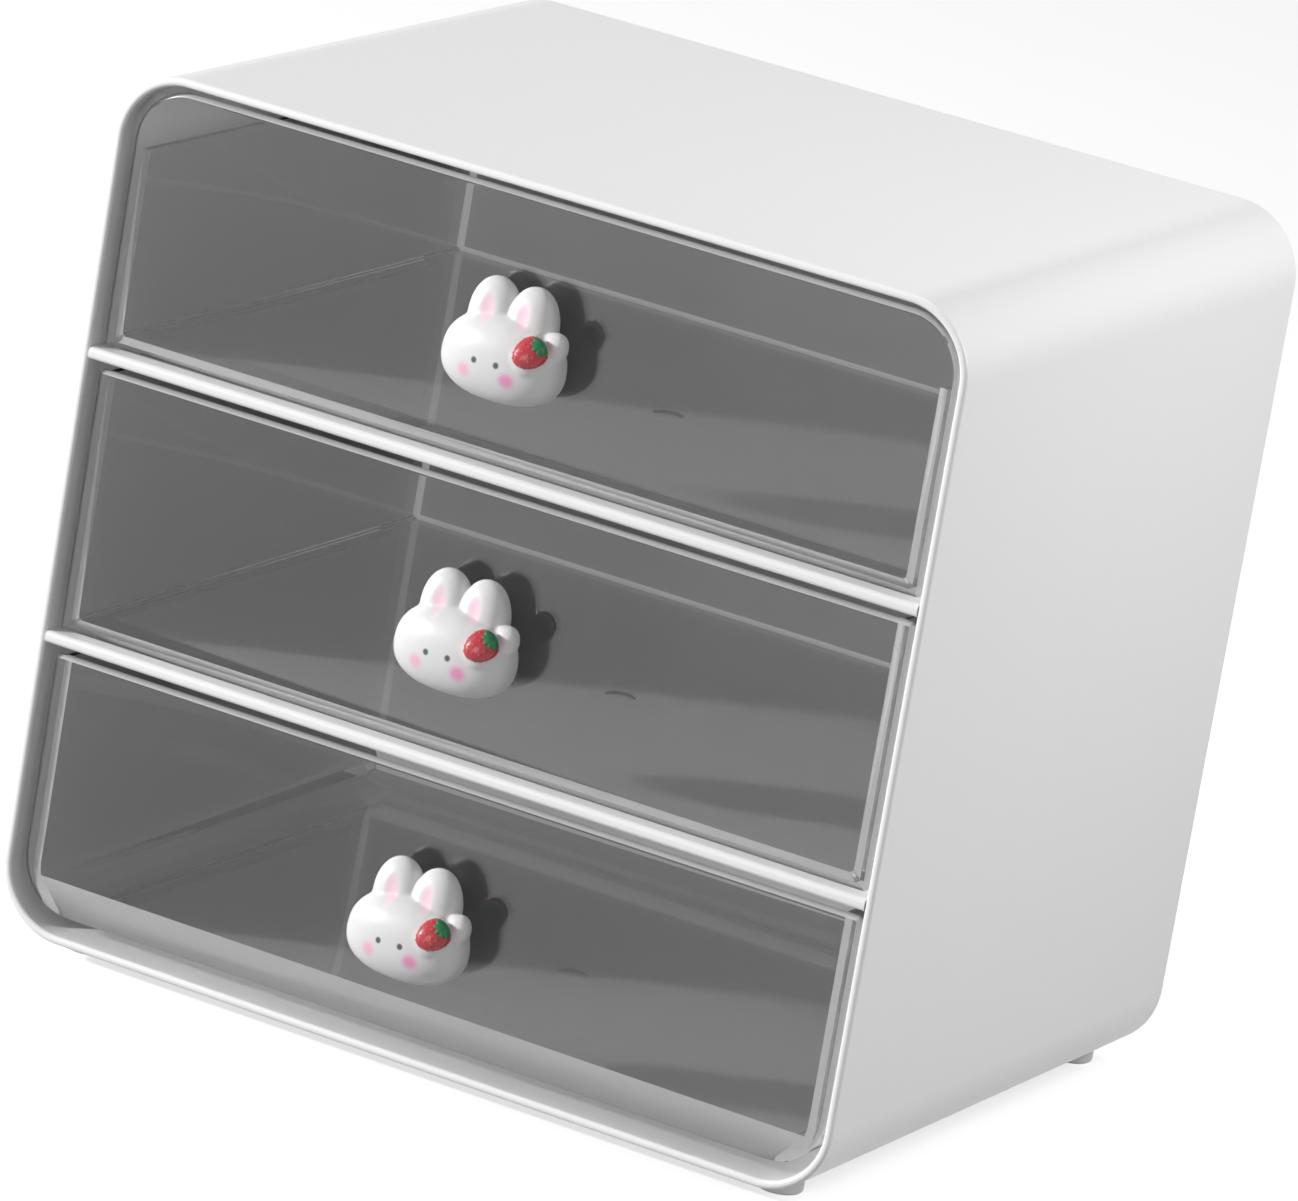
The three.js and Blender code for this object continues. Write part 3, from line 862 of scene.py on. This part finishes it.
# How far out the berry's skin stands over a place across and along it
def berrySkin(across, along):
    best = 0
    for step in range(skinSteps + 1):
        radius, at = berryProfile(step / skinSteps)
        if abs(at - along) < berry["length"] * skinBand:
            best = max(best, radius)
    if best <= abs(across):
        return 0
    return berry["halfDepth"] * math.sqrt(1 - (across / best) ** 2) * best / berry["halfWidth"]


def makeBerryShape():
    shape = bmesh.new()
    rows = []
    for ring in range(1, berry["rings"]):
        radius, along = berryProfile(ring / berry["rings"])
        row = []
        for side in range(berry["sides"]):
            turn = math.tau * side / berry["sides"]
            deep = math.sin(turn) * radius * berry["halfDepth"] / berry["halfWidth"]
            row.append(shape.verts.new((math.cos(turn) * radius, along, deep)))
        rows.append(row)
    tip = shape.verts.new((0, -berry["length"] / 2, 0))
    crown = shape.verts.new((0, berry["length"] / 2, 0))
    count = berry["sides"]
    for i in range(count):
        j = (i + 1) % count
        shape.faces.new((tip, rows[0][j], rows[0][i]))
        shape.faces.new((crown, rows[-1][i], rows[-1][j]))
        for near, far in zip(rows, rows[1:]):
            shape.faces.new((near[i], near[j], far[j], far[i]))
    return toMesh("berry", shape)


# Seeds strewn over the berry's skin, each laid along it
def seedTree():
    tree, given, result = newTree("berrySeeds", [
        ("Berry", "Object"), ("Pitch", "Float"), ("Length", "Float"), ("Width", "Float"),
        ("Seed", "Int"), ("Finish", "Material"),
    ])
    links = tree.links
    skin = put(tree, "GeometryNodeObjectInfo")
    links.new(given.outputs["Berry"], skin.inputs["Object"])
    scatter = put(tree, "GeometryNodeDistributePointsOnFaces", distribute_method="POISSON")
    scatter.inputs["Density Max"].default_value = seeds["crowd"]
    links.new(skin.outputs["Geometry"], scatter.inputs["Mesh"])
    links.new(given.outputs["Pitch"], scatter.inputs["Distance Min"])
    links.new(given.outputs["Seed"], scatter.inputs["Seed"])
    grain = put(tree, "GeometryNodeMeshIcoSphere")
    grain.inputs["Subdivisions"].default_value = seeds["facets"]
    grain.inputs["Radius"].default_value = 1
    size = put(tree, "ShaderNodeCombineXYZ")
    for axis, side in (("X", "Width"), ("Y", "Length"), ("Z", "Width")):
        links.new(given.outputs[side], size.inputs[axis])
    lay = put(tree, "GeometryNodeInstanceOnPoints")
    links.new(scatter.outputs["Points"], lay.inputs["Points"])
    links.new(scatter.outputs["Rotation"], lay.inputs["Rotation"])
    links.new(grain.outputs["Mesh"], lay.inputs["Instance"])
    links.new(size.outputs["Vector"], lay.inputs["Scale"])
    return endTree(tree, lay.outputs["Instances"], given, result)


# Leaves fanned out from the crown and laid on the berry's skin
def makeSepals():
    shape = bmesh.new()
    count, half, thick = sepals["count"], sepals["half"], sepals["thick"]
    crown = berry["length"] / 2 - half * sepals["crownDrop"]
    for index in range(count):
        turn = Matrix.Rotation((index / (count - 1) - 0.5) * sepals["fan"], 3, "Z")
        for vertex in ball(shape, sepals["grid"]):
            p = vertex.co
            along = -0.5 * (1 + p.y) * sepals["length"] + half * sepals["rootOver"]
            share = min(max((1 + p.y) / 2, 0), 1)
            wide = p.x * half * (1 - sepals["narrowing"] * share * share)
            fanned = turn @ Vector((wide, along, p.z * thick))
            y = fanned.y + crown
            out = berrySkin(fanned.x, y) + thick * sepals["lift"] + fanned.z
            vertex.co = Vector((fanned.x, y, out))
    return toMesh("sepals", shape)


def makeBerries():
    skin = placed("berry", makeBerryShape())
    leaves = makeSepals()
    tree = seedTree()
    for drawer in drawers:
        stand = Matrix.Translation(knobPlace(drawer)) @ berryFrame()
        grains = runTree(tree, drawer + "_berry_seeds", {
            **seeds, "Berry": skin, "Finish": materials["berry_seed"],
        })
        grains.data.transform(stand)
        body = placed(drawer + "_berry", skin.data.copy())
        body.data.transform(stand)
        body.data.materials.append(materials["berry_red"])
        crown = placed(drawer + "_berry_leaves", leaves.copy())
        crown.data.transform(stand)
        crown.data.materials.append(materials["leaf_green"])
        for piece, node, finish in (
            (body, "_strawberry", "berry_red"),
            (crown, "_strawberry_leaves", "leaf_green"),
            (grains, None, "berry_red"),
        ):
            easeShading(piece, berry["sharpest"])
            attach(piece, drawer + "_drawer")
            if node:
                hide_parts(drawer + node)
    bpy.data.objects.remove(skin)


makeBerries()
print("strawberries made")

# Carried-over pieces


def dress(node, finish):
    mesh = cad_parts[node].data
    mesh.materials.clear()
    mesh.materials.append(materials[finish])


dress("back_panel", "white_sheet")
for drawer in drawers:
    dress(drawer + "_threaded_insert", "brass_insert")
    dress(drawer + "_knob_screw", "screw_steel")
print("carried-over pieces dressed")

# Stage and light. The eye, reflections and clear plastic see a white room, which lights the
# object less than it shows

stage = {
    "floorRadius": 8.0,
    "floorSides": 64,
    "skyLight": 0.23,
    "skySeen": 1,
    "floorColour": 0.22,
    "floorGlow": 0.66,
    "floorSeen": 0.65,
}


def grey(value):
    return value, value, value, 1


def seenByEye(nodes, links):
    path = nodes.new("ShaderNodeLightPath")
    seen = path.outputs["Is Camera Ray"]
    for ray in ("Is Glossy Ray", "Is Transmission Ray"):
        either = nodes.new("ShaderNodeMath")
        either.operation = "MAXIMUM"
        links.new(seen, either.inputs[0])
        links.new(path.outputs[ray], either.inputs[1])
        seen = either.outputs[0]
    return seen


def makeSky(spec):
    world = bpy.data.worlds.new("studio")
    scene.world = world
    world.use_nodes = True
    nodes, links = world.node_tree.nodes, world.node_tree.links
    nodes.clear()
    skies = []
    for strength in (spec["skyLight"], spec["skySeen"]):
        sky = nodes.new("ShaderNodeBackground")
        sky.inputs["Color"].default_value = grey(1)
        sky.inputs["Strength"].default_value = strength
        skies.append(sky.outputs["Background"])
    output = nodes.new("ShaderNodeOutputWorld")
    links.new(mixed(nodes, links, seenByEye(nodes, links), *skies), output.inputs["Surface"])


def makeFloor(spec):
    material, nodes, links, output = newMaterial("floor")
    plain = nodes.new("ShaderNodeBsdfDiffuse")
    plain.inputs["Color"].default_value = grey(spec["floorColour"])
    shaded = nodes.new("ShaderNodeBsdfDiffuse")
    shaded.inputs["Color"].default_value = grey(spec["floorSeen"])
    glow = nodes.new("ShaderNodeEmission")
    glow.inputs["Strength"].default_value = spec["floorGlow"]
    both = nodes.new("ShaderNodeAddShader")
    links.new(shaded.outputs["BSDF"], both.inputs[0])
    links.new(glow.outputs["Emission"], both.inputs[1])
    surface = mixed(nodes, links, seenByEye(nodes, links),
                    plain.outputs["BSDF"], both.outputs["Shader"])
    links.new(surface, output.inputs["Surface"])
    shape = bmesh.new()
    bmesh.ops.create_circle(shape, cap_ends=True, segments=spec["floorSides"],
                            radius=spec["floorRadius"])
    mesh = bpy.data.meshes.new("floor")
    shape.to_mesh(mesh)
    shape.free()
    mesh.materials.append(material)
    placed("floor", mesh)


lampAim = Vector((0, 0, 0.11))
lamps = {
    "key": {"azimuth": -52, "elevation": 18, "distance": 2.6, "size": 0.12, "watts": 66},
    "front": {"azimuth": 8, "elevation": 6, "distance": 1.8, "size": 0.8, "watts": 5},
    "fill": {"azimuth": 98, "elevation": 31, "distance": 0.6, "size": 0.4, "watts": 1.7},
    "overhead": {"azimuth": 180, "elevation": 80, "distance": 1.2, "size": 0.5, "watts": 1.6},
}


def makeLamps(specs):
    for name, spec in specs.items():
        light = bpy.data.lights.new(name, "AREA")
        light.shape = "DISK"
        light.size = spec["size"]
        light.energy = spec["watts"]
        lamp = bpy.data.objects.new(name, light)
        scene.collection.objects.link(lamp)
        turn, rise = math.radians(spec["azimuth"]), math.radians(spec["elevation"])
        level = math.cos(rise)
        away = Vector((math.sin(turn) * level, -math.cos(turn) * level, math.sin(rise)))
        place = Matrix.Translation(lampAim + away * spec["distance"])
        lamp.matrix_world = place @ away.to_track_quat("Z", "Y").to_matrix().to_4x4()


makeSky(stage)
makeFloor(stage)
makeLamps(lamps)
print("stage lit")
